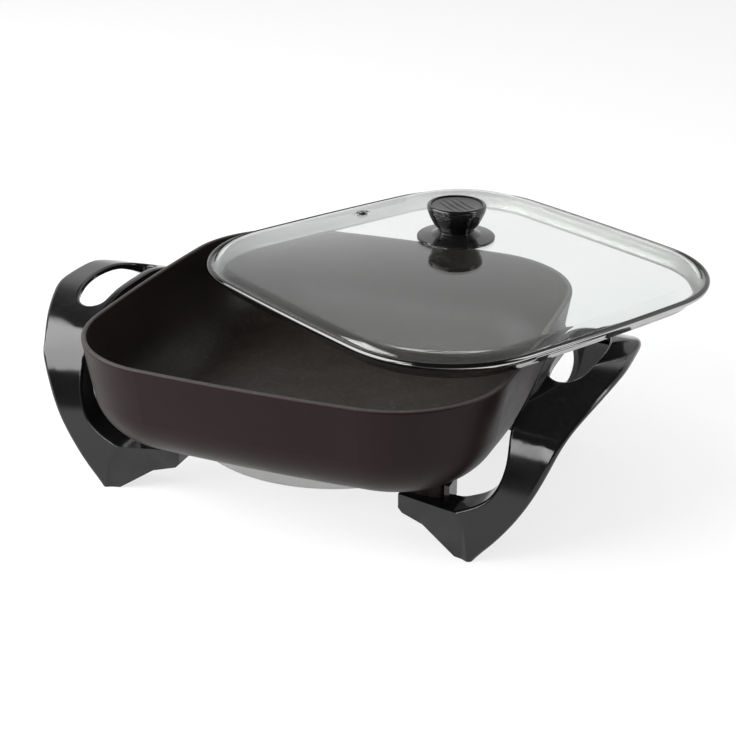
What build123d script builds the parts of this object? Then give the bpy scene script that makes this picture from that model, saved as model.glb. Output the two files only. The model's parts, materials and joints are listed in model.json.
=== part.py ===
from build123d import *
from math import atan2, cos, degrees, hypot, radians, sin, sqrt, tan
import os

os.makedirs("parts", exist_ok=True)

# Driving dimensions, mm. The floor is z = 0, the pan is centred on x = y = 0, the front is -Y.
FIT = 0.2                 # gap between pieces that are laid or slid together
RIM_Z = 120.5             # top of the pan rim
RIM_HALF = 152.5          # half the pan across the flats: a 12 inch skillet
RIM_BOW = 1500.0          # radius of each bowed side
RIM_CORNER = 78.0
PAN_WALL = 3.8
PAN_FLOOR = 5.0
PAN_BOTTOM = 46.5
PAN_DRAFT = 8.8          # degrees the wall leans in
PAN_HEEL = 40.0           # outer radius from wall to bottom

LUG_INSET, LUG_Y = 53.5, 78.0    # lug centres in from the rim side, and off the middle
LUG_X = RIM_HALF - LUG_INSET
LUG_SIZE = (26.0, 15.0)
LUG_SEAT = 32.5           # underside of the lugs, where the handles screw on
ARM_TOP = LUG_SEAT - FIT

COVER_R = 105.6           # round heater cover under the pan
COVER_Z = 30.3
COVER_WALL = 1.6
COVER_SCREW_R = 30.0

ELEMENT_R = 82.0          # centre line of the tubular element
ELEMENT_TUBE = 4.0
PIN_Y = 13.0              # each terminal pin off the inlet centre
PIN_R = 3.0
PIN_Z = 38.4
PROBE_R = 4.2
PIN_OUT = 40.4            # how far each piece of the inlet stands out of the cover wall
GUARD_OUT = 33.4
PROBE_OUT = 13.4
INSULATOR_OUT = 8.4
GUARD_BACK = 5.4
PIN_ROOT = -8.6           # inside the wall, where each pin meets its element end
GUARD_HALF = 29.0
GUARD_SCREW_Y = 21.5

HANDLE_WALL = 3.5
HANDLE_EDGE = 2.8         # rounding along the outer side of leg and grip
INNER_EDGE = 1.9          # rounding beside the pan and round the finger opening
LIP_IN, LIP_OUT = 10.5, 0.5       # depth of the finger opening's wall, pan side and grip side
HANDLE_X = RIM_HALF - 0.5 # x = 0 of the right handle's own drawing
TIP_IN, TIP_OUT = -26.5, -13.5    # the foot
ARM_END, GRIP_END = -74.0, 65.0

SCREW_R = 2.5
SCREW_HEAD_R = 4.6
WASHER_R = 6.0

LID_X, LID_Y, LID_TURN = 62.3, 78.8, -30.0
LID_HALF = 156.0          # outside of the steel bead
LID_BOW = 2400.0
LID_CORNER = 84.0
FLANGE_INSET = 7.8        # steps in to pass inside the pan rim
BAND_TOP = 13.8           # above the flange edge
SHEET = 0.7
GLASS = 3.6
DOME_TOP = 35.0
DOME_FALL = 8.7e-4        # fall from the middle, per square mm
CORNER_LIFT = 4.1e-8
RIM_FLAT = 10.5           # flat margin of the glass that the bead holds
SHOULDER = 9.0            # rounding from the dome down to that margin
KNOB_HOLE_R = 4.0
KNOB_TOP = 25.2           # above the glass
SKIRT_R = 28.5
VENT_X = -111.0
VENT_R = 4.5


def bowed_square(half, bow, corner, z=0.0):
    """Four bowed sides and four corner arcs that meet tangent, as one closed wire."""
    shift = bow - half
    root = sqrt(4 * shift ** 2 - 8 * (shift ** 2 - (bow - corner) ** 2))
    centre = (root - 2 * shift) / 4
    turn = degrees(atan2(centre, centre + shift))
    side = Edge.make_circle(bow, Plane(origin=(-shift, 0, z)), -turn, turn)
    rounding = Edge.make_circle(corner, Plane(origin=(centre, centre, z)), turn, 90 - turn)
    edges = []
    for quarter in range(4):
        edges += [Rotation(0, 0, 90 * quarter) * side, Rotation(0, 0, 90 * quarter) * rounding]
    return Wire(edges)


def rim_outline(inset, z):
    return bowed_square(RIM_HALF - inset, RIM_BOW - inset, RIM_CORNER - inset, z)


def lid_outline(inset, z=0.0):
    return bowed_square(LID_HALF - inset, LID_BOW - inset, LID_CORNER - inset, z)


def turned(points, at=(0, 0)):
    """A solid of revolution about a vertical axis from (radius, z) points."""
    face = make_face(Polyline([(r, 0, z) for r, z in points], close=True))
    return Pos(at[0], at[1], 0) * revolve(face, Axis.Z)


def rod(radius, bottom, top, at=(0, 0)):
    return Pos(at[0], at[1], bottom) * extrude(Circle(radius), top - bottom)


def block(x0, x1, y0, y1, z0, z1):
    middle = ((x0 + x1) / 2, (y0 + y1) / 2, (z0 + z1) / 2)
    return Pos(*middle) * Box(x1 - x0, y1 - y0, z1 - z0)


def lug_places():
    return [(LUG_X * sx, LUG_Y * sy) for sx in (-1, 1) for sy in (-1, 1)]


def cover_screw_places():
    return [
        (COVER_SCREW_R * cos(radians(a)), COVER_SCREW_R * sin(radians(a)))
        for a in (60, 180, 300)
    ]


# ---------------------------------------------------------------- pan

def pan_block(top, bottom, inset, heel):
    """The drafted block of the pan with its rounded heel."""
    lean = (RIM_Z - bottom) * tan(radians(PAN_DRAFT))
    solid = Solid.make_loft([rim_outline(inset, top), rim_outline(inset + lean, bottom)], True)
    return fillet(solid.faces().sort_by(Axis.Z)[0].edges(), heel)


def make_pan():
    outside = pan_block(RIM_Z, PAN_BOTTOM, 0, PAN_HEEL)
    inside = pan_block(RIM_Z, PAN_BOTTOM + PAN_FLOOR, PAN_WALL, PAN_HEEL - PAN_WALL)
    pan = outside - inside
    rim = pan.faces().filter_by(Axis.Z).sort_by(Axis.Z)[-1]
    pan = fillet(rim.edges(), PAN_WALL * 0.42)
    for x, y in lug_places():
        lug = Pos(x, y) * extrude(RectangleRounded(*LUG_SIZE, 3), PAN_BOTTOM + 14 - LUG_SEAT)
        pan += (Pos(0, 0, LUG_SEAT) * lug) - inside
    for x, y in cover_screw_places():
        pan += rod(6, COVER_Z + COVER_WALL, PAN_BOTTOM + 1, (x, y))
    for x, y in lug_places():
        pan -= rod(SCREW_R, LUG_SEAT - 1, LUG_SEAT + 14, (x, y))
    for x, y in cover_screw_places():
        pan -= rod(SCREW_R, COVER_Z, PAN_BOTTOM - 3, (x, y))
    return pan


# ---------------------------------------------------------------- handles (right one, +X)

LEG = [(103.5, -1), (102.5, 14), (100.5, 30), (98, 49), (94, 67), (89, 83)]
SHOULDER_IN = [(89, 83), (85, 92.5), (78, 99.5), (69, 104.5), (56, 110), (32, 116), (0, 118)]
SHOULDER_OUT = [(89, 83), (85, 89), (77, 94), (67, 100.5), (52, 109), (32, 116.5), (0, 119.5)]
REACH_IN = [(82, -1), (82, 25), (80.5, 50), (76, 77), (67, 92), (50, 103), (25, 109), (0, 109.5)]
REACH_OUT = [(95, -1), (93, 25), (89, 55), (83, 78), (74, 89), (56, 101), (30, 110.5), (0, 114)]
# Seen from the front and from above, in the handle's own x.
FRONT_OUTER = [
    (TIP_OUT, 0), (-1.5, 14), (9.5, 28), (19, 43), (27, 59), (33.5, 75), (40.5, 90), (50, 102),
    (55, 107.5),
]
FRONT_INNER = [
    (3.5, 90), (3.5, 70), (0.5, 57), (-4.5, 47.5), (-14, 39.5), (-24, ARM_TOP + 2.2), (-36, ARM_TOP),
]
FRONT_LEAN = [(9.4, 125), (8.4, 111), (6, 100), (3.5, 90)]
PLAN_OUTER = [(50, -67.5), (56.5, -48), (61, -29), (63, 0)]
OPENING = [
    (14.4, 0), (14.2, -18), (14.2, -33), (16.2, -41.5), (22.5, -45), (32.5, -41.5), (40, -25), (43, 0),
]


def inset_run(points, depth):
    """A half profile moved inwards, square to its own run."""
    mirrored = points + [(-y, z) for y, z in reversed(points[:-1])]
    moved = []
    for i in range(len(points)):
        (y0, z0), (y1, z1) = mirrored[max(i - 1, 0)], mirrored[i + 1]
        run = hypot(y1 - y0, z1 - z0)
        y, z = mirrored[i]
        moved.append((y - depth * (z1 - z0) / run, z + depth * (y1 - y0) / run))
    return moved


def arch_face(x, half):
    """The arch seen from the side: a half profile of (distance from the middle, height)."""
    front = [(x, -y, z) for y, z in half]
    back = [(x, y, z) for y, z in reversed(half)]
    up = Spline(*front, tangents=[(0, 0.06, 1), (0, 1, 0)])
    down = Spline(*back, tangents=[(0, 1, 0), (0, 0.06, -1)])
    return make_face([up, down, Line(back[-1], front[0])])


def arch(inner, outer):
    """The solid under the arch: one profile at the rim side, one at the grip, ruled through both."""
    run_on = -ARM_END / GRIP_END
    start = [
        (yi + run_on * (yi - yo), zi + run_on * (zi - zo))
        for (yi, zi), (yo, zo) in zip(inner, outer)
    ]
    return loft([arch_face(ARM_END, start), arch_face(GRIP_END, outer)], ruled=True)


def mitred(loop, depth):
    """Corner points of a counter-clockwise loop, moved inwards with mitred corners."""
    moved = []
    for i, (x, y) in enumerate(loop):
        xa, ya = loop[i - 1]
        xb, yb = loop[(i + 1) % len(loop)]
        la, lb = hypot(x - xa, y - ya), hypot(xb - x, yb - y)
        na, nb = ((ya - y) / la, (x - xa) / la), ((y - yb) / lb, (xb - x) / lb)
        reach = depth / (1 + na[0] * nb[0] + na[1] * nb[1])
        moved.append((x + reach * (na[0] + nb[0]), y + reach * (na[1] + nb[1])))
    return moved


def outline_face(runs, depth):
    """Face inside a closed chain of runs, moved inwards by depth.

    A run is (points, tangents): a spline where tangents are given, else straight lines.
    """
    loop = mitred([point for points, _ in runs for point in points[:-1]], depth)
    edges, first = [], 0
    for points, tangents in runs:
        part = [loop[(first + i) % len(loop)] for i in range(len(points))]
        edges.append(Spline(*part, tangents=tangents) if tangents else Polyline(*part))
        first += len(points) - 1
    return make_face(edges)


def front_view(depth):
    """Leg, arm and foot seen from the front, as a prism right through the handle."""
    top = [FRONT_OUTER[-1], (GRIP_END, 118), (GRIP_END, 125), FRONT_LEAN[0]]
    arm = [FRONT_INNER[-1], (-70, ARM_TOP), (-70, 22), (-67, 19), (-51, 15.5), (TIP_IN, 0)]
    arm += [FRONT_OUTER[0]]
    rise, lean = (0.6, 0.8), (0.68, 0.74)
    beside_pan = [(FRONT_LEAN, [(-0.2, -1), (0, -1)]), (FRONT_INNER, [(0, -1), (-1, 0)])]
    runs = [(FRONT_OUTER, [rise, lean]), (top, None)] + beside_pan + [(arm, None)]
    return extrude(Plane.XZ * outline_face(runs, depth), 130, dir=(0, 1, 0), both=True)


def flipped(points):
    return [(x, -y) for x, y in reversed(points)]


def plan_view(depth, arm_bend=True):
    """Grip and arms seen from above, as a prism right through the handle."""
    arm = [(ARM_END, -88.5), (-21, -101.3)] if arm_bend else [(ARM_END, -106)]
    corner = arm + [(-12, -106), (GRIP_END, -106), (GRIP_END, -90), PLAN_OUTER[0]]
    sweep = PLAN_OUTER + flipped(PLAN_OUTER)[1:]
    end = [flipped(arm)[-1], arm[0]]
    runs = [(sweep, [(0.25, 1), (-0.25, 1)]), (flipped(corner), None), (end, None), (corner, None)]
    return extrude(outline_face(runs, depth), 130)


def opening_prism(growth):
    """The finger opening seen from above, D-shaped with the flat beside the pan."""
    back = flipped(OPENING)
    runs = [(OPENING, [(0, -1), (0, 1)]), (back, [(0, 1), (0, -1)])]
    return extrude(outline_face(runs, -growth), 130)


def opening_edges(solid):
    """Upper edge of the finger opening."""
    top = [e for e in solid.edges() if e.center().Z > 100 and e.bounding_box().max.X < 45]
    return [e for e in top if e.bounding_box().min.X > 6.2 and e.length > 60]


def inner_edges(solid):
    """The run from arm to grip where the arched face turns in beside the pan."""
    boxes = [(edge, edge.bounding_box()) for edge in solid.edges()]
    run = [e for e, b in boxes if b.min.Y < -66 and b.max.X < 10 and b.size.Y > 5 and b.size.Z > 5]
    return [e for e in run if e.bounding_box().max.Z < 119]


def grip_corner(solid):
    """Edges under the grip, where the leg's outer side passes into it."""
    boxes = [(edge, edge.bounding_box()) for edge in solid.edges()]
    return [e for e, b in boxes if b.min.X > 49 and b.max.Z < 119 and e.length > 20]


def outer_edges(solid):
    """The run from foot to grip where the arched face turns in on the outer side."""
    boxes = [(edge, edge.bounding_box()) for edge in solid.edges()]
    run = [e for e, b in boxes if b.max.X > 43 and b.min.X > -14 and b.min.Y < -60 and b.size.Y > 3]
    return [e for e in run if e.bounding_box().max.Z > 100 and e.bounding_box().size.Z > 1]


def make_handle():
    outside = LEG[:-1] + SHOULDER_IN, LEG[:-1] + SHOULDER_OUT
    inside = [inset_run(run, HANDLE_WALL) for run in outside]
    under_lip = [inset_run(run, depth) for run, depth in zip(outside, (LIP_IN, LIP_OUT))]
    hole, collar = opening_prism(0), opening_prism(HANDLE_WALL)

    shape = arch(*outside) & front_view(0) & plan_view(0, arm_bend=False)
    shape &= block(ARM_END - 5, GRIP_END + 5, -130, 0, -5, 130)
    shape = fillet(inner_edges(shape), INNER_EDGE)
    shape = fillet(grip_corner(shape), HANDLE_EDGE - 0.8)
    shape = fillet(outer_edges(shape), HANDLE_EDGE)
    shape -= hole
    shape = fillet(opening_edges(shape), INNER_EDGE)
    shape &= plan_view(0)

    shape -= (arch(*inside) & front_view(HANDLE_WALL) & plan_view(HANDLE_WALL)) - collar
    shape -= arch(*under_lip) & collar
    shape -= arch(REACH_IN, REACH_OUT)
    shape += block(-38.4, -34.8, -88, -72, ARM_TOP - 2, ARM_TOP + 12)
    screw = (LUG_X - HANDLE_X, -LUG_Y)
    shape -= rod(SCREW_R + FIT, ARM_TOP - HANDLE_WALL - 2, ARM_TOP + 2, screw)
    shape -= rod(WASHER_R + 0.5, 8, ARM_TOP - HANDLE_WALL - 1, screw)
    return shape + mirror(shape, Plane.XZ)


# ---------------------------------------------------------------- heater and inlet

def along_x(radius, outer, inner, y=0.0, z=PIN_Z):
    """Rod along X at the inlet, from and to distances outside the cover wall."""
    rod_along = Cylinder(radius, outer - inner, align=(Align.CENTER, Align.CENTER, Align.MIN))
    return Pos(-COVER_R - outer, y, z) * Rotation(0, 90, 0) * rod_along


def make_cover():
    cup = rod(COVER_R, COVER_Z, PAN_BOTTOM - FIT)
    cup = fillet(cup.edges().sort_by(Axis.Z)[0], 2.5)
    cup -= rod(COVER_R - COVER_WALL, COVER_Z + COVER_WALL, PAN_BOTTOM + 1)
    for x, y in cover_screw_places():
        cup -= rod(SCREW_R + FIT, COVER_Z - 1, COVER_Z + 5, (x, y))
    for y in (-PIN_Y, PIN_Y):
        cup -= along_x(PIN_R + 2.7, 3, -9, y)
    cup -= along_x(PROBE_R + FIT, 3, -9)
    for y in (-GUARD_SCREW_Y, GUARD_SCREW_Y):
        cup -= along_x(1.7, 3, -9, y)
    return cup


def make_element():
    """Tubular loop against the pan bottom, its cold ends led out to the inlet."""
    level = PAN_BOTTOM - FIT - ELEMENT_TUBE
    gap = degrees(atan2(PIN_Y, ELEMENT_R))
    section = Pos(ELEMENT_R, 0, level) * Rotation(90, 0, 0) * Circle(ELEMENT_TUBE)
    ring = Rotation(0, 0, 180 + gap) * revolve(section, Axis.Z, 360 - 2 * gap)
    for y in (-PIN_Y, PIN_Y):
        x = -sqrt(ELEMENT_R ** 2 - PIN_Y ** 2)
        ring += Pos(x, y, level) * Sphere(ELEMENT_TUBE)
        ring += along_x(ELEMENT_TUBE, PIN_ROOT, -x - COVER_R, y, level)
    return ring


def make_pin(y):
    pin = along_x(PIN_R, PIN_OUT, INSULATOR_OUT + 0.5, y)
    pin = fillet(pin.edges().sort_by(Axis.X)[0], 1.4)
    return pin + along_x(PIN_R - 0.5, INSULATOR_OUT + 1, PIN_ROOT + 0.1, y)


def make_insulator(y):
    collar = along_x(PIN_R + 2.5, INSULATOR_OUT, PIN_ROOT + 0.6, y)
    return collar - along_x(PIN_R - 0.4, INSULATOR_OUT + 1, PIN_ROOT, y)


def make_probe_tube():
    tube = along_x(PROBE_R, PROBE_OUT, -43.6)
    return tube - along_x(PROBE_R - 0.9, PROBE_OUT + 1, -39.6)


def make_guard():
    """Moulded shroud round the pins, shaped to the cover behind it."""
    low, high = COVER_Z + 0.8, PAN_BOTTOM - 0.8
    front, back = -COVER_R - GUARD_OUT, -COVER_R - GUARD_BACK
    shroud = block(front, GUARD_HALF - COVER_R, -GUARD_HALF, GUARD_HALF, low, high)
    shroud = fillet(shroud.edges().filter_by(Axis.X), 3)
    shroud -= rod(COVER_R + 0.3, 0, 60)
    pocket = block(front - 1, back, 2.5 - GUARD_HALF, GUARD_HALF - 2.5, low + 2.5, high - 2.5)
    shroud -= fillet(pocket.edges().filter_by(Axis.X), 1.5)
    for y in (-PIN_Y, PIN_Y):
        shroud -= along_x(PIN_R + 2.7, GUARD_BACK + 4, -6, y)
    shroud -= along_x(PROBE_R + FIT, GUARD_BACK + 4, -6)
    for y in (-GUARD_SCREW_Y, GUARD_SCREW_Y):
        shroud -= along_x(1.7, GUARD_BACK + 4, -6, y)
    return shroud


def make_guard_screw(y):
    screw = along_x(3.0, GUARD_BACK + 2.2, GUARD_BACK + 0.1, y) + along_x(1.5, GUARD_BACK + 0.2, -7.6, y)
    return screw - (Pos(-COVER_R - GUARD_BACK - 2.2, y, PIN_Z) * Box(1.6, 5, 0.8))


def upright_screw(head_z, tip_z, at):
    """Pan-head screw driven upwards, with a cross slot in the head."""
    head = fillet(rod(SCREW_HEAD_R, head_z - 2.6, head_z).edges().sort_by(Axis.Z)[0], 1.4)
    screw = Pos(*at) * (head + rod(SCREW_R - 0.1, head_z - 0.2, tip_z))
    for turn in (0, 90):
        screw -= Pos(at[0], at[1], head_z - 2.6) * Rotation(0, 0, turn) * Box(5, 1, 2.2)
    return screw


def make_washer(top, at):
    return rod(WASHER_R, top - 1.0, top, at) - rod(SCREW_R + 0.1, top - 2, top + 1, at)


# ---------------------------------------------------------------- lid, in its own frame

def lid_place(shape):
    """Laid askew on the pan rim, as the lid rests when lifted aside."""
    return Pos(LID_X, LID_Y, RIM_Z + FIT) * Rotation(0, 0, LID_TURN) * shape


def lid_slab(inset, bottom, top):
    return extrude(make_face(lid_outline(inset, bottom)), top - bottom)


def make_band():
    """Folded steel rim: a bead round the glass and a flange that drops inside the pan."""
    shelf = BAND_TOP - 4.8
    bead = lid_slab(0, shelf, BAND_TOP)
    bead = fillet(bead.edges(), 2.1)
    bead -= lid_slab(SHEET, shelf + SHEET, BAND_TOP - SHEET)
    bead -= lid_slab(FLANGE_INSET + SHEET, shelf - 1, BAND_TOP + 1)
    return bead + (lid_slab(FLANGE_INSET, 0, shelf + 0.2) - lid_slab(FLANGE_INSET + SHEET, -1, shelf + 1))


def dome_height(x, y):
    """Round in the middle, with the corners held up towards the square rim."""
    return DOME_TOP - DOME_FALL * (x * x + y * y) + CORNER_LIFT * (x * y) ** 2


def dome(inset, drop, shoulder):
    """Solid under the domed surface, lowered by drop, rounded where it turns down at the rim."""
    steps = [LID_HALF * i / 6 for i in range(-6, 7)]
    rows = [[Vector(x, y, dome_height(x, y) - drop) for x in steps] for y in steps]
    surface = Face.make_surface_from_array_of_points(rows, tol=0.001, min_deg=3, max_deg=6)
    under = extrude(surface, 45, dir=(0, 0, -1))
    solid = under & lid_slab(inset, 4, DOME_TOP + 1)
    crown = [edge for edge in solid.edges() if edge.center().Z > 10 - drop and edge.bounding_box().size.Z < 6]
    return fillet(crown, shoulder)


def make_glass():
    margin = lid_slab(SHEET + 0.3, BAND_TOP - 4.0, BAND_TOP - 0.8)
    glass = margin + dome(RIM_FLAT, 0, SHOULDER) - dome(RIM_FLAT + GLASS, GLASS, SHOULDER - GLASS)
    glass -= rod(KNOB_HOLE_R, 20, 40)
    return glass - vent_place(rod(3.0, -8, 4))


def vent_place(shape):
    tilt = degrees(atan2(2 * DOME_FALL * VENT_X, 1))
    return Pos(VENT_X, 0, dome_height(VENT_X, 0)) * Rotation(0, tilt, 0) * shape


def make_eyelet():
    body = rod(2.8, -4.8, 1.0) + rod(VENT_R, 0.4, 1.2) + rod(VENT_R - 0.3, -5.1, -4.3)
    return vent_place(body - rod(1.5, -6, 2))


def make_knob_base():
    """Skirt disc and the cone that rises to the waist."""
    foot, waist = DOME_TOP + FIT, DOME_TOP + 5.6
    droop = DOME_FALL * SKIRT_R ** 2
    outline = [(SKIRT_R, foot - droop), (SKIRT_R, foot + 1.2 - droop), (SKIRT_R - 0.6, foot + 1.7 - droop)]
    outline += [(18.4, foot + 2.3), (16.6, foot + 3.1), (14.4, foot + 4.4), (13.2, waist)]
    return turned(outline + [(2.8, waist), (2.8, foot + 1.0), (10.4, foot + 1.0), (10.4, foot)])


def make_knob_grip():
    """Hollow-topped bowl of the knob, from the waist to the rolled lip."""
    z = DOME_TOP
    bowl = Spline(
        (13.0, 0, z + 5.7), (14.6, 0, z + 8), (17.8, 0, z + 12.5), (20.2, 0, z + 17.5), (21.6, 0, z + 23.2),
        tangents=[(0.25, 0, 1), (0.08, 0, 1)],
    )
    lip = ThreePointArc((21.6, 0, z + 23.2), (20.9, 0, z + 24.8), (19.4, 0, z + KNOB_TOP))
    seat = Polyline((19.4, 0, z + KNOB_TOP), (18.7, 0, z + 24.6), (18.7, 0, z + 22), (0, 0, z + 22))
    bore = Polyline((0, 0, z + 22), (0, 0, z + 16), (2.8, 0, z + 16), (2.8, 0, z + 5.7), (13.0, 0, z + 5.7))
    return revolve(make_face([bowl, lip, seat, bore]), Axis.Z)


def make_knob_insert():
    """Dished cap set in the knob top, with slanting grip ribs."""
    z = DOME_TOP + 22.1
    cap = turned([(0, z), (18.5, z), (18.5, z + 1.8), (17.7, z + 2.1), (13, z + 1.6), (0, z + 1.2)])
    ribs = rod(14.5, z + 0.5, z + 2.0)
    bars = [Pos(0, off, z + 1.2) * Box(40, 1.5, 1.6) for off in (-7.5, -2.5, 2.5, 7.5)]
    return cap + (ribs & Rotation(0, 0, -14) * (bars[0] + bars[1] + bars[2] + bars[3]))


def make_lid_washer(bottom, radius, thickness):
    return rod(radius, bottom, bottom + thickness) - rod(SCREW_R + 0.2, bottom - 1, bottom + 4)


handle = Pos(HANDLE_X, 0, 0) * make_handle()
handle_under = ARM_TOP - HANDLE_WALL
inner_glass = DOME_TOP - GLASS
sides = {"front_right": (1, -1), "rear_right": (1, 1), "front_left": (-1, -1), "rear_left": (-1, 1)}

pieces = {
    "pan_body": make_pan(),
    "heater_cover": make_cover(),
    "heating_element": make_element(),
    "probe_tube": make_probe_tube(),
    "inlet_guard": make_guard(),
    "handle_right": handle,
    "handle_left": mirror(handle, Plane.YZ),
    "lid_band": lid_place(make_band()),
    "lid_glass": lid_place(make_glass()),
    "vent_eyelet": lid_place(make_eyelet()),
    "knob_base": lid_place(make_knob_base()),
    "knob_grip": lid_place(make_knob_grip()),
    "knob_insert": lid_place(make_knob_insert()),
    "knob_seal": lid_place(make_lid_washer(DOME_TOP, 10.0, 1.0 + FIT)),
    "knob_washer": lid_place(make_lid_washer(inner_glass - 1.3, 9.0, 1.2)),
    "knob_screw": lid_place(upright_screw(inner_glass - 1.3, DOME_TOP + 15, (0, 0))),
}
for end, y in (("front", -PIN_Y), ("rear", PIN_Y)):
    pieces["terminal_pin_" + end] = make_pin(y)
    pieces["pin_insulator_" + end] = make_insulator(y)
for end, y in (("front", -GUARD_SCREW_Y), ("rear", GUARD_SCREW_Y)):
    pieces["guard_screw_" + end] = make_guard_screw(y)
for end, (sx, sy) in sides.items():
    at = (LUG_X * sx, LUG_Y * sy)
    pieces["handle_screw_" + end] = upright_screw(handle_under - 1.0, LUG_SEAT + 12, at)
    pieces["handle_washer_" + end] = make_washer(handle_under, at)
for number, at in enumerate(cover_screw_places(), 1):
    pieces["cover_screw_" + str(number)] = upright_screw(COVER_Z, PAN_BOTTOM - 4, at)

for name, shape in pieces.items():
    export_step(shape, "parts/" + name + ".step")
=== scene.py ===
import json
import math

import bmesh
import bpy
from mathutils import Euler, Matrix, Vector


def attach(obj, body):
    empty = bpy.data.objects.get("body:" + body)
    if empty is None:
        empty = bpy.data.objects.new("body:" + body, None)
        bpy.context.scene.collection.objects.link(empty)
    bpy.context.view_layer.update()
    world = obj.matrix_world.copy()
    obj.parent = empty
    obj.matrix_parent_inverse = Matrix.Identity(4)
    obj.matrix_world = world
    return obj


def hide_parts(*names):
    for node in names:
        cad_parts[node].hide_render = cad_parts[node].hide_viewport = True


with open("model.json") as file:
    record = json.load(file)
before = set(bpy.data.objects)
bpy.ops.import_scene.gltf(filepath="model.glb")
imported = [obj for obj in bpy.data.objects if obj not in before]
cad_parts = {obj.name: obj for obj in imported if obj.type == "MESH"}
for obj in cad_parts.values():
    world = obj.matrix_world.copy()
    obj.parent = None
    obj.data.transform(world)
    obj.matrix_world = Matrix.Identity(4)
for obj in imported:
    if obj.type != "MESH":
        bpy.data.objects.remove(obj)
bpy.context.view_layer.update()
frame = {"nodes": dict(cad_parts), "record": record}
nodes = frame["nodes"]

PAN_RIM = 0.1205
# levels between which the top of the pan's rim gets a painted highlight
RIM_HIGHLIGHT_LEVELS = (PAN_RIM - 0.0008, PAN_RIM - 0.0002)

# The lid: where its middle lies, its turn about the upright, and its bowed outline.
LID_PLACE = Vector((0.0623, 0.0788, 0.1207))
LID_TURN = math.radians(-30.0)
LID_HALF = 0.156             # from the middle to the middle of a side
LID_BOW = 2.4                # radius of a bowed side
LID_CORNER = 0.084           # radius of a corner
SIDE_STEPS, CORNER_STEPS = 34, 34

# The glass: a flat margin under the bead, a round shoulder, and a dome that flattens to the corners.
GLASS = 0.0030
GLASS_EDGE = 0.0010          # distance in from the lid's edge to the edge of the glass
GLASS_MARGIN = 0.01250       # level of the glass under the bead's lip
SHOULDER_START, SHOULDER_END = 0.0052, 0.0135
DOME_TOP = 0.035
DOME_FALL = 0.87             # fall from the middle, per square metre
CORNER_LIFT = 41.0           # lift towards the corners, times the square of x times y
KNOB_HOLE = 0.004
VENT_X, VENT_HOLE = -0.111, 0.0028
EDGE_RINGS, DOME_RINGS = 14, 56
MEETING = 0.00001            # corners nearer than this are one

# Section of the steel rim in mm: distance in from the edge, and level above the skirt's lower edge.
# It runs up the outside of the skirt, over the round bead to its lip, and back down the inside.
RIM_SECTION = [
    (11.0, 0.0), (10.0, 1.7), (7.2, 4.7), (4.2, 7.5), (2.4, 8.6), (1.1, 9.1), (0.3, 9.8), (0.0, 10.9),
    (0.0, 11.4), (0.17, 12.2), (0.6, 12.9), (1.2, 13.45), (1.9, 13.75), (2.5, 13.75), (3.1, 13.40),
    (3.3, 12.52), (0.9, 12.5), (0.7, 10.2), (1.2, 9.6), (2.9, 9.3), (4.7, 8.0), (7.7, 5.3),
    (10.6, 2.1), (11.7, 0.0)]

# Levels above the lid's foot between which the steel's tone changes: the bead, darkened as a painted dark
# reflection, the fold inside the skirt, with painted shade that darkens upwards, and the end of the faces
# that lie under the glass.
BEAD_REFLECTION_LEVELS = (0.0112, 0.0122)
FOLD_SHADE_LEVELS = (0.0055, 0.0115)
UNDER_GLASS_LEVELS = (0.0121, 0.0126)


# ---------------------------------------------------------------- node helpers

def fill(tree, socket, value):
    """Link a socket to the given output, or set its plain value."""
    if isinstance(value, bpy.types.NodeSocket):
        tree.links.new(value, socket)
    else:
        socket.default_value = value


def put(tree, kind, **settings):
    """Add a node; plain settings are its properties, and a dict called sockets fills its inputs."""
    sockets = settings.pop("sockets", {})
    node = tree.nodes.new(kind)
    for name, value in settings.items():
        setattr(node, name, value)
    for name, value in sockets.items():
        fill(tree, node.inputs[name], value)
    return node


def calculate(tree, operation, *values):
    node = put(tree, "ShaderNodeMath", operation=operation)
    for place, value in enumerate(values):
        fill(tree, node.inputs[place], value)
    return node.outputs[0]


def vector_math(tree, operation, *values):
    node = put(tree, "ShaderNodeVectorMath", operation=operation)
    for place, value in enumerate(values):
        fill(tree, node.inputs[place], value)
    return node.outputs


def ease(tree, value, low, high, to_low=0.0, to_high=1.0):
    """Take a value smoothly from one range to another."""
    node = put(tree, "ShaderNodeMapRange", interpolation_type="SMOOTHSTEP", sockets={
        "Value": value, "From Min": low, "From Max": high, "To Min": to_low, "To Max": to_high})
    return node.outputs[0]


def spread(tree, value, low, high):
    """Stretch the range from low to high over 0 to 1."""
    node = put(tree, "ShaderNodeMapRange", sockets={"Value": value, "From Min": low, "From Max": high})
    return node.outputs[0]


def noise(tree, where, scale, **sockets):
    return put(tree, "ShaderNodeTexNoise", sockets={"Vector": where, "Scale": scale, **sockets}).outputs[0]


def blend_colour(tree, share, first, second):
    node = put(tree, "ShaderNodeMix", data_type="RGBA")
    for place, value in ((0, share), (6, first), (7, second)):
        fill(tree, node.inputs[place], value)
    return node.outputs[2]


def blend_value(tree, share, first, second):
    node = put(tree, "ShaderNodeMix", data_type="FLOAT", sockets={0: share, 2: first, 3: second})
    return node.outputs[0]


def object_place(tree):
    return put(tree, "ShaderNodeTexCoord").outputs["Object"]


def surface_normal(tree):
    return put(tree, "ShaderNodeNewGeometry").outputs["Normal"]


def parts_of(tree, vector):
    return put(tree, "ShaderNodeSeparateXYZ", sockets={"Vector": vector}).outputs


def flat_direction(tree, vector):
    """The level part of a vector, at length 1."""
    level = vector_math(tree, "MULTIPLY", vector, (1, 1, 0))[0]
    return vector_math(tree, "NORMALIZE", level)[0]


def grey(level):
    return (level, level, level, 1.0)


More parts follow.
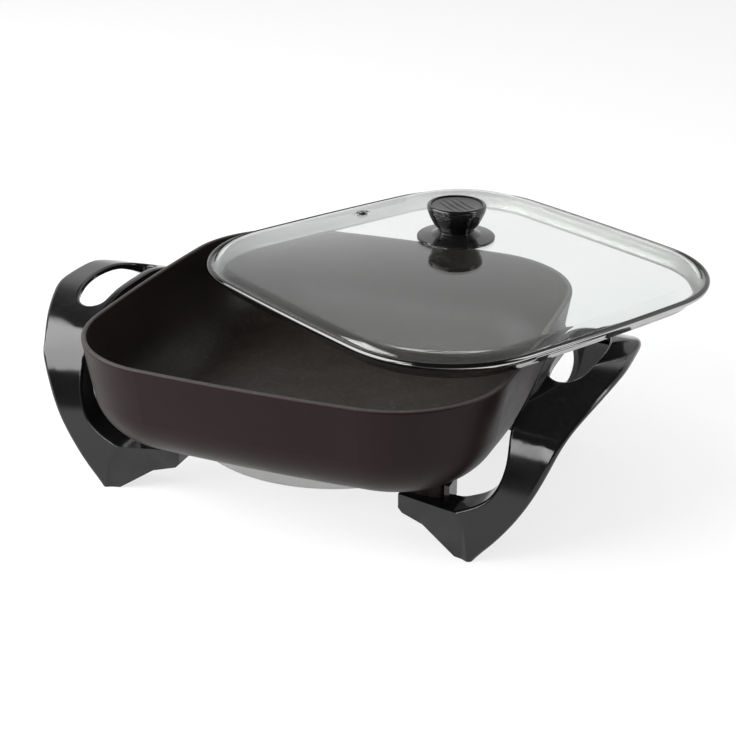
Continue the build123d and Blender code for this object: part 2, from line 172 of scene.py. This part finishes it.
def new_group(name, inputs, output):
    """An empty shader group with float inputs {name: default} and one float output."""
    tree = bpy.data.node_groups.new(name, "ShaderNodeTree")
    for socket, default in inputs.items():
        made = tree.interface.new_socket(socket, in_out="INPUT", socket_type="NodeSocketFloat")
        made.default_value = default
    tree.interface.new_socket(output, in_out="OUTPUT", socket_type="NodeSocketFloat")
    given = tree.nodes.new("NodeGroupInput").outputs
    return tree, given, tree.nodes.new("NodeGroupOutput").inputs[output]


def place_group(tree, group, **sockets):
    """Put a shared effect in a material with its own values, and return what it puts out."""
    node = put(tree, "ShaderNodeGroup", node_tree=group, sockets=sockets)
    return node.outputs[0]


# ---------------------------------------------------------------- shared surface effects

def make_edge_wear():
    """Where corners have been rubbed: sharp edges, broken up by noise."""
    tree, given, wear = new_group("edge_wear", {"start": 0.53, "full": 0.62, "patch size": 60.0}, "wear")
    sharpness = put(tree, "ShaderNodeNewGeometry").outputs["Pointiness"]
    edge = spread(tree, sharpness, given["start"], given["full"])
    patches = noise(tree, object_place(tree), given["patch size"], Detail=5.0, Roughness=0.6)
    fill(tree, wear, calculate(tree, "MULTIPLY", edge, ease(tree, patches, 0.35, 0.7)))
    return tree


def make_fine_grain():
    """Even fine texture of a coated or moulded surface."""
    tree, given, height = new_group("fine_grain", {"size": 900.0, "softness": 0.55}, "height")
    fill(tree, height, noise(
        tree, object_place(tree), given["size"], Detail=3.0, Roughness=given["softness"]))
    return tree


def make_handling():
    """Broad uneven patches left by wiping and handling."""
    tree, given, marks = new_group("handling_marks", {"size": 18.0, "low": 0.3, "high": 0.7}, "marks")
    broad = noise(
        tree, object_place(tree), given["size"], Detail=6.0, Roughness=0.62, Distortion=0.6)
    fill(tree, marks, spread(tree, broad, given["low"], given["high"]))
    return tree


def make_dust():
    """A little dust on what faces up."""
    tree, given, dust = new_group("settled_dust", {"amount": 0.2, "size": 250.0}, "dust")
    facing_up = ease(tree, parts_of(tree, surface_normal(tree))[2], 0.3, 1.0)
    specks = noise(tree, object_place(tree), given["size"], Detail=8.0, Roughness=0.7)
    lying = calculate(tree, "MULTIPLY", facing_up, ease(tree, specks, 0.45, 0.75))
    fill(tree, dust, calculate(tree, "MULTIPLY", lying, given["amount"]))
    return tree


def make_turning():
    """Fine lines round the upright axis, as a spun or lathe-turned face has."""
    tree, given, height = new_group("turned_lines", {"fineness": 1800.0}, "height")
    place = parts_of(tree, object_place(tree))
    square = calculate(tree, "ADD", calculate(tree, "MULTIPLY", place[0], place[0]),
                       calculate(tree, "MULTIPLY", place[1], place[1]))
    radius = calculate(tree, "SQRT", square)
    spot = put(tree, "ShaderNodeCombineXYZ", sockets={"X": radius, "Y": place[2]}).outputs[0]
    fill(tree, height, noise(tree, spot, given["fineness"], Detail=2.0))
    return tree


EDGE_WEAR = make_edge_wear()
FINE_GRAIN = make_fine_grain()
HANDLING = make_handling()
DUST = make_dust()
TURNING = make_turning()


# ---------------------------------------------------------------- materials

# Pairs are the clean value and the one where the surface has been handled. The fold's pair is painted
# shade, running from its foot up to the bead.
COATING_OUTSIDE = (0.0132, 0.0056, 0.0060, 1), (0.0102, 0.0044, 0.0046, 1)
COATING_INSIDE = (0.0150, 0.0108, 0.0095, 1), (0.0115, 0.0085, 0.0075, 1)
# painted highlight along the top of the pan's rim
COATING_RIM_HIGHLIGHT = (0.062, 0.052, 0.050, 1)
COATING_RUBBED = (0.10, 0.085, 0.08, 1)
COATING_ROUGH = (0.36, 0.46)
COATING_GRAIN = 0.00004
GLASS_TINT = (0.80, 0.825, 0.812, 1), (0.765, 0.795, 0.78, 1)
GLASS_SHADE = (0.86, 0.90, 0.88, 1)
SKIRT_STEEL = (0.60, 0.60, 0.605, 1), (0.50, 0.495, 0.485, 1)
# painted dark reflection on the bead
BEAD_PAINTED_REFLECTION = (0.095, 0.094, 0.092, 1)
# painted shade inside the skirt's fold, light at its foot and dark under the bead
FOLD_PAINTED_SHADE = (0.30, 0.298, 0.292, 1), (0.05, 0.05, 0.048, 1)
STEEL_ROUGH = (0.05, 0.11)
STEEL_GRAIN = 0.00001
FOLD_DULLNESS = 0.32         # added roughness on the faces that look inward


def new_material(name, **sockets):
    """A material, its tree and its shader, with plain values set on the shader."""
    material = bpy.data.materials.new(name)
    material.use_nodes = True
    shader = material.node_tree.nodes["Principled BSDF"]
    for socket, value in sockets.items():
        shader.inputs[socket.replace("_", " ")].default_value = value
    return material, material.node_tree, shader


def finish_surface(tree, shader, colour, roughness, height, depth):
    """Feed the shader's varying inputs; depth is how deep the height runs, in metres."""
    bump = put(tree, "ShaderNodeBump", sockets={"Height": height, "Distance": depth, "Strength": 1.0})
    fill(tree, shader.inputs["Normal"], bump.outputs[0])
    fill(tree, shader.inputs["Base Color"], colour)
    fill(tree, shader.inputs["Roughness"], roughness)


def moulded(name, colour, rubbed, dusty, rough, grain, depth, dust=0.15):
    """Moulded plastic, rubber or ceramic with rubbed edges, handling marks and dust."""
    material, tree, shader = new_material(name, Specular_IOR_Level=0.5)
    wear = place_group(tree, EDGE_WEAR)
    marks = place_group(tree, HANDLING)
    settled = place_group(tree, DUST, amount=dust)
    height = place_group(tree, FINE_GRAIN, size=grain)
    tone = blend_colour(tree, calculate(tree, "MULTIPLY", wear, 0.6), colour, rubbed)
    tone = blend_colour(tree, settled, tone, dusty)
    dulled = ease(tree, calculate(tree, "ADD", marks, settled), 0.0, 1.2, *rough)
    finish_surface(tree, shader, tone, dulled, height, depth)
    return material


def metal(name, colour, stained, rough, lines, depth):
    """Bare metal with turned lines, marks and a slight stain."""
    material, tree, shader = new_material(name, Metallic=1.0)
    marks = place_group(tree, HANDLING, size=30.0)
    height = place_group(tree, TURNING, fineness=lines)
    tone = blend_colour(tree, calculate(tree, "MULTIPLY", marks, 0.5), colour, stained)
    tone = blend_colour(tree, calculate(tree, "MULTIPLY", height, 0.25), tone, stained)
    finish_surface(tree, shader, tone, ease(tree, marks, 0.0, 1.0, *rough), height, depth)
    return material


def show_either(tree, share, first, second):
    """Show the first shader, and the second one where the share is 1."""
    both = put(tree, "ShaderNodeMixShader", sockets={0: share})
    tree.links.new(first.outputs[0], both.inputs[1])
    tree.links.new(second.outputs[0], both.inputs[2])
    tree.links.new(both.outputs[0], tree.nodes["Material Output"].inputs["Surface"])


def make_pan_coating():
    """Satin brown-grey outside, a greyer non-stick coat inside, and a painted highlight along the top of
    the rim.
    """
    material, tree, shader = new_material("pan_coating", Specular_IOR_Level=0.155)
    place = object_place(tree)
    normal = surface_normal(tree)
    facing_out = vector_math(tree, "DOT_PRODUCT", normal, flat_direction(tree, place))["Value"]
    facing_up = parts_of(tree, normal)[2]
    inside = ease(tree, calculate(tree, "SUBTRACT", facing_up, facing_out), -0.15, 0.15)
    rim = ease(tree, parts_of(tree, place)[2], *RIM_HIGHLIGHT_LEVELS)
    marks = place_group(tree, HANDLING, size=14.0)
    wear = place_group(tree, EDGE_WEAR, start=0.52, full=0.6)
    settled = place_group(tree, DUST, amount=0.08)
    grain = place_group(tree, FINE_GRAIN, size=1400.0)
    outside_tone = blend_colour(tree, marks, *COATING_OUTSIDE)
    inside_tone = blend_colour(tree, marks, *COATING_INSIDE)
    tone = blend_colour(tree, inside, outside_tone, inside_tone)
    # painted highlight along the top of the rim
    tone = blend_colour(tree, calculate(tree, "MULTIPLY", rim, 0.6), tone, COATING_RIM_HIGHLIGHT)
    tone = blend_colour(tree, calculate(tree, "MULTIPLY", wear, 0.4), tone, COATING_RUBBED)
    tone = blend_colour(tree, settled, tone, grey(0.25))
    rough = ease(tree, marks, 0.0, 1.0, *COATING_ROUGH)
    finish_surface(tree, shader, tone, rough, grain, COATING_GRAIN)
    return material


def make_glass():
    """Clear tempered glass that lets light through to what it covers."""
    material, tree, shader = new_material(
        "clear_glass", Metallic=0.0, Transmission_Weight=1.0, IOR=1.5, Specular_IOR_Level=0.5)
    marks = place_group(tree, HANDLING, size=9.0)
    wipe = place_group(tree, FINE_GRAIN, size=60.0, softness=0.7)
    fill(tree, shader.inputs["Base Color"], blend_colour(tree, marks, *GLASS_TINT))
    film = calculate(tree, "MULTIPLY", marks, wipe)
    fill(tree, shader.inputs["Roughness"], ease(tree, film, 0.1, 0.8, 0.0, 0.05))
    shade = put(tree, "ShaderNodeBsdfTransparent", sockets={"Color": GLASS_SHADE})
    shadow_ray = put(tree, "ShaderNodeLightPath").outputs["Is Shadow Ray"]
    show_either(tree, shadow_ray, shader, shade)
    return material


def make_lid_steel():
    """Polished stainless strip, drawn along its length, duller and with painted shade on the faces that
    look inward, and a painted dark reflection on the bead.
    """
    material, tree, shader = new_material("bead_steel", Metallic=1.0, Specular_Tint=grey(0.75))
    place = object_place(tree)
    inward = vector_math(tree, "SUBTRACT", (LID_PLACE.x, LID_PLACE.y, 0.0), place)[0]
    facing_in = vector_math(
        tree, "DOT_PRODUCT", surface_normal(tree), flat_direction(tree, inward))["Value"]
    height = calculate(tree, "SUBTRACT", parts_of(tree, place)[2], LID_PLACE.z)
    under_glass = ease(tree, height, *UNDER_GLASS_LEVELS, 1.0, 0.0)
    # faces that look inward under the glass get painted shade and added roughness
    inward_shade_and_dullness = calculate(tree, "MULTIPLY", ease(tree, facing_in, 0.0, 0.3), under_glass)
    marks = place_group(tree, HANDLING, size=40.0)
    grain = place_group(tree, FINE_GRAIN, size=2500.0)
    tone = blend_colour(tree, marks, *SKIRT_STEEL)
    tone = blend_colour(tree, calculate(tree, "MULTIPLY", grain, 0.15), tone, grey(0.36))
    # painted dark reflection on the bead
    tone = blend_colour(tree, ease(tree, height, *BEAD_REFLECTION_LEVELS), tone, BEAD_PAINTED_REFLECTION)
    # painted shade in the fold, darkening upwards under the bead
    fold = blend_colour(tree, ease(tree, height, *FOLD_SHADE_LEVELS), *FOLD_PAINTED_SHADE)
    tone = blend_colour(tree, inward_shade_and_dullness, tone, fold)
    polished = ease(tree, marks, 0.0, 1.0, *STEEL_ROUGH)
    dulled = ease(tree, inward_shade_and_dullness, 0.0, 1.0, 0.0, FOLD_DULLNESS)
    finish_surface(tree, shader, tone, calculate(tree, "ADD", polished, dulled), grain, STEEL_GRAIN)
    return material


finishes = {
    "pan_coating": make_pan_coating(),
    "cover_metal": metal(
        "cover_metal", colour=grey(0.36), stained=(0.30, 0.295, 0.29, 1), rough=(0.26, 0.38),
        lines=1500.0, depth=0.00003),
    "handle_plastic": moulded(
        "handle_plastic", colour=grey(0.004), rubbed=grey(0.03), dusty=grey(0.10), rough=(0.09, 0.17),
        grain=700.0, depth=0.000006, dust=0.05),
    "guard_plastic": moulded(
        "guard_plastic", colour=grey(0.016), rubbed=grey(0.06), dusty=grey(0.14), rough=(0.48, 0.62),
        grain=1200.0, depth=0.00004),
    "sheath_metal": metal(
        "sheath_metal", colour=grey(0.55), stained=(0.36, 0.33, 0.29, 1), rough=(0.28, 0.42),
        lines=2000.0, depth=0.00001),
    "ceramic": moulded(
        "ceramic", colour=(0.72, 0.69, 0.63, 1), rubbed=(0.6, 0.56, 0.5, 1), dusty=grey(0.4),
        rough=(0.5, 0.7), grain=1600.0, depth=0.00003),
    "fastener_metal": metal(
        "fastener_metal", colour=grey(0.56), stained=(0.4, 0.38, 0.34, 1), rough=(0.3, 0.45),
        lines=2200.0, depth=0.00001),
    "lid_steel": make_lid_steel(),
    "lid_glass": make_glass(),
    "knob_gloss": moulded(
        "knob_gloss", colour=grey(0.004), rubbed=grey(0.03), dusty=grey(0.10), rough=(0.10, 0.18),
        grain=800.0, depth=0.000004, dust=0.06),
    "knob_matte": moulded(
        "knob_matte", colour=grey(0.030), rubbed=grey(0.07), dusty=grey(0.16), rough=(0.38, 0.5),
        grain=1500.0, depth=0.00002),
    "seal_rubber": moulded(
        "seal_rubber", colour=grey(0.018), rubbed=grey(0.05), dusty=grey(0.12), rough=(0.6, 0.75),
        grain=1300.0, depth=0.00003),
}

for part in frame["record"]["subparts"]:
    material_slots = nodes[part["node"]].data.materials
    material_slots.clear()
    material_slots.append(finishes[part["material_slot"]])


# ---------------------------------------------------------------- lid pieces

def lid_outline(inset):
    """Points round the lid at a distance in from its edge, in the lid's own axes."""
    shift = LID_BOW - LID_HALF
    root = math.sqrt(4 * shift ** 2 - 8 * (shift ** 2 - (LID_BOW - LID_CORNER) ** 2))
    centre = (root - 2 * shift) / 4
    bend = math.atan2(centre, centre + shift)
    side, corner = LID_BOW - inset, LID_CORNER - inset
    points = []
    for quarter in range(4):
        turn = Matrix.Rotation(math.radians(90 * quarter), 2)
        for step in range(SIDE_STEPS):
            angle = -bend + 2 * bend * step / SIDE_STEPS
            points.append(turn @ Vector((side * math.cos(angle) - shift, side * math.sin(angle))))
        for step in range(CORNER_STEPS):
            angle = bend + (math.pi / 2 - 2 * bend) * step / CORNER_STEPS
            across, along = corner * math.cos(angle), corner * math.sin(angle)
            points.append(turn @ Vector((centre + across, centre + along)))
    return points


def dome_height(x, y):
    return DOME_TOP - DOME_FALL * (x * x + y * y) + CORNER_LIFT * (x * y) ** 2


def glass_level(x, y, inset):
    """Top of the glass: flat under the bead, then a round shoulder up to the dome."""
    if inset <= SHOULDER_START:
        return GLASS_MARGIN
    share = min(1.0, (inset - SHOULDER_START) / (SHOULDER_END - SHOULDER_START))
    rise = 1 - (1 - share) ** 2
    return GLASS_MARGIN + (dome_height(x, y) - GLASS_MARGIN) * rise


def on_pan(x, y, z):
    """From the lid's own axes to its place on the pan."""
    return Matrix.Rotation(LID_TURN, 3, "Z") @ Vector((x, y, z)) + LID_PLACE


def skin_rings(rings):
    """Extrude the first ring of points through the others, each corner to its own next place."""
    made = bmesh.new()
    number = made.verts.layers.int.new("number")
    corners = [made.verts.new(point) for point in rings[0]]
    for place, corner in enumerate(corners):
        corner[number] = place
    edges = [made.edges.new((corners[i - 1], corners[i])) for i in range(len(corners))]
    for points in rings[1:]:
        grown = bmesh.ops.extrude_edge_only(made, edges=edges)["geom"]
        for corner in grown:
            if isinstance(corner, bmesh.types.BMVert):
                corner.co = points[corner[number]]
        edges = [edge for edge in grown if isinstance(edge, bmesh.types.BMEdge)]
    made.verts.layers.int.remove(number)
    bmesh.ops.remove_doubles(made, verts=made.verts, dist=MEETING)
    bmesh.ops.recalc_face_normals(made, faces=made.faces)
    return made


def mesh_object(name, made, slot):
    """A smooth piece of the lid from a finished bmesh."""
    mesh = bpy.data.meshes.new(name)
    made.to_mesh(mesh)
    made.free()
    piece = bpy.data.objects.new(name, mesh)
    bpy.context.scene.collection.objects.link(piece)
    for face in mesh.polygons:
        face.use_smooth = True
    mesh.materials.append(finishes[slot])
    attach(piece, "lid")
    return piece


def make_rim():
    """Rolled steel bead over the glass edge, and the skirt that slants in to seat on the pan."""
    rings = []
    for inset, level in RIM_SECTION + RIM_SECTION[:1]:
        rings.append([on_pan(x, y, level / 1000) for x, y in lid_outline(inset / 1000)])
    piece = mesh_object("lid_rim", skin_rings(rings), "lid_steel")
    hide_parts("lid_band")


def make_dome():
    """Square domed glass with its knob hole and vent hole, given its thickness by a modifier."""
    rings = []
    for step in range(EDGE_RINGS):
        inset = GLASS_EDGE + (SHOULDER_END - GLASS_EDGE) * step / EDGE_RINGS
        rings.append([on_pan(x, y, glass_level(x, y, inset)) for x, y in lid_outline(inset)])
    shoulder = lid_outline(SHOULDER_END)
    for step in range(DOME_RINGS + 1):
        points = []
        for point in shoulder:
            x, y = point.lerp(point.normalized() * KNOB_HOLE, step / DOME_RINGS)
            points.append(on_pan(x, y, dome_height(x, y)))
        rings.append(points)
    made = skin_rings(rings)
    if sum(face.normal.z for face in made.faces) < 0:
        bmesh.ops.reverse_faces(made, faces=made.faces)
    vent = on_pan(VENT_X, 0.0, dome_height(VENT_X, 0.0))
    pierced = [face for face in made.faces if (face.calc_center_median() - vent).length < VENT_HOLE]
    bmesh.ops.delete(made, geom=pierced, context="FACES")
    piece = mesh_object("lid_dome", made, "lid_glass")
    thick = piece.modifiers.new("thickness", "SOLIDIFY")
    thick.thickness = GLASS
    thick.offset = -1.0
    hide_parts("lid_glass")


make_rim()
make_dome()


# ---------------------------------------------------------------- floor, light, camera

OBJECT_MIDDLE = Vector((0.0, 0.0, 0.08))

FLOOR_SIZE = 30.0
FLOOR_LEVEL = -0.0002        # just clear of the feet
FLOOR_TONE = 0.6             # what the floor gives back to the object
FLOOR_SHOWN = 0.26           # its part of the shown white that shadows can darken
SWEEP = (-0.75, -0.38)       # in reflections the floor fades away in front, between these
SWEEP_END = 0.10

STUDIO_FILL = 0.38
STUDIO_DARK = 0.06
BACKDROP_SIDES = (0.0, 0.45)
BACKDROP_TOP = (0.55, 0.85)

EYE, TARGET = Vector((0.3777, -0.8882, 0.5053)), Vector((0.02483, 0.0, 0.07683))
LENS, SENSOR, ROLL = 71.65, 36.0, math.radians(0.143)


def make_floor():
    """Plain white floor that shows only faint contact shadows."""
    bpy.ops.mesh.primitive_plane_add(size=FLOOR_SIZE, location=(0.0, 0.0, FLOOR_LEVEL))
    floor = bpy.context.object
    floor.name = "floor"
    material, tree, shader = new_material("floor_white", Roughness=0.9, Specular_IOR_Level=0.0)
    shader.inputs["Base Color"].default_value = grey(FLOOR_TONE)
    path = put(tree, "ShaderNodeLightPath").outputs
    fade = ease(tree, parts_of(tree, object_place(tree))[1], *SWEEP, SWEEP_END, 1.0)
    white = blend_value(tree, path["Is Glossy Ray"], 1.0, fade)
    shaded = put(tree, "ShaderNodeBsdfDiffuse", sockets={
        "Color": blend_colour(tree, white, grey(0.0), grey(FLOOR_SHOWN))})
    lit = put(tree, "ShaderNodeEmission", sockets={
        "Color": grey(1.0), "Strength": calculate(tree, "MULTIPLY", white, 1.0 - FLOOR_SHOWN)})
    glow = put(tree, "ShaderNodeAddShader")
    tree.links.new(shaded.outputs[0], glow.inputs[0])
    tree.links.new(lit.outputs[0], glow.inputs[1])
    mirrored = calculate(tree, "MAXIMUM", path["Is Glossy Ray"], path["Is Transmission Ray"])
    seen = calculate(tree, "MAXIMUM", path["Is Camera Ray"], mirrored)
    show_either(tree, seen, shader, glow)
    floor.data.materials.append(material)


def make_world():
    """White backdrop behind the object, a dark studio round and above it, and a soft even fill."""
    world = bpy.data.worlds.new("studio")
    bpy.context.scene.world = world
    world.use_nodes = True
    tree = world.node_tree
    back = tree.nodes["Background"]
    back.inputs["Color"].default_value = grey(1.0)
    way = parts_of(tree, put(tree, "ShaderNodeTexCoord").outputs["Generated"])
    behind = ease(tree, way[1], *BACKDROP_SIDES)
    low = ease(tree, way[2], *BACKDROP_TOP, 1.0, 0.0)
    mirrored = ease(tree, calculate(tree, "MULTIPLY", behind, low), 0.0, 1.0, STUDIO_DARK, 1.0)
    path = put(tree, "ShaderNodeLightPath").outputs
    seen = calculate(tree, "MAXIMUM", path["Is Camera Ray"], path["Is Transmission Ray"])
    soft = blend_value(tree, path["Is Glossy Ray"], STUDIO_FILL, mirrored)
    fill(tree, back.inputs["Strength"], blend_value(tree, seen, soft, 1.0))


def soft_box(name, heading, height, distance, size, brightness):
    """A square lamp seen from the object at a heading from +Y and a height, both in degrees."""
    lamp = bpy.data.lights.new(name, "AREA")
    lamp.shape = "RECTANGLE"
    lamp.size, lamp.size_y = size
    lamp.energy = brightness * math.pi * size[0] * size[1]
    flat, rise = math.cos(math.radians(height)), math.sin(math.radians(height))
    turn = math.radians(heading)
    place = OBJECT_MIDDLE + distance * Vector((flat * math.sin(turn), flat * math.cos(turn), rise))
    holder = bpy.data.objects.new(name, lamp)
    holder.location = place
    holder.rotation_mode = "QUATERNION"
    holder.rotation_quaternion = (OBJECT_MIDDLE - place).to_track_quat("-Z", "Y")
    bpy.context.scene.collection.objects.link(holder)


def make_camera():
    data = bpy.data.cameras.new("camera")
    data.sensor_width = SENSOR
    data.lens = LENS
    camera = bpy.data.objects.new("camera", data)
    camera.location = EYE
    camera.rotation_mode = "QUATERNION"
    look = (TARGET - EYE).to_track_quat("-Z", "Y")
    camera.rotation_quaternion = look @ Euler((0, 0, ROLL)).to_quaternion()
    bpy.context.scene.collection.objects.link(camera)
    bpy.context.scene.camera = camera


make_floor()
make_world()
soft_box("key", heading=-122.0, height=34.0, distance=2.0, size=(2.4, 1.8), brightness=7.0)
soft_box("front", heading=-166.0, height=13.0, distance=2.0, size=(0.5, 0.4), brightness=9.0)
soft_box("edge", heading=84.0, height=28.0, distance=1.5, size=(0.3, 1.1), brightness=6.0)
make_camera()
bpy.context.scene.view_settings.view_transform = "Standard"
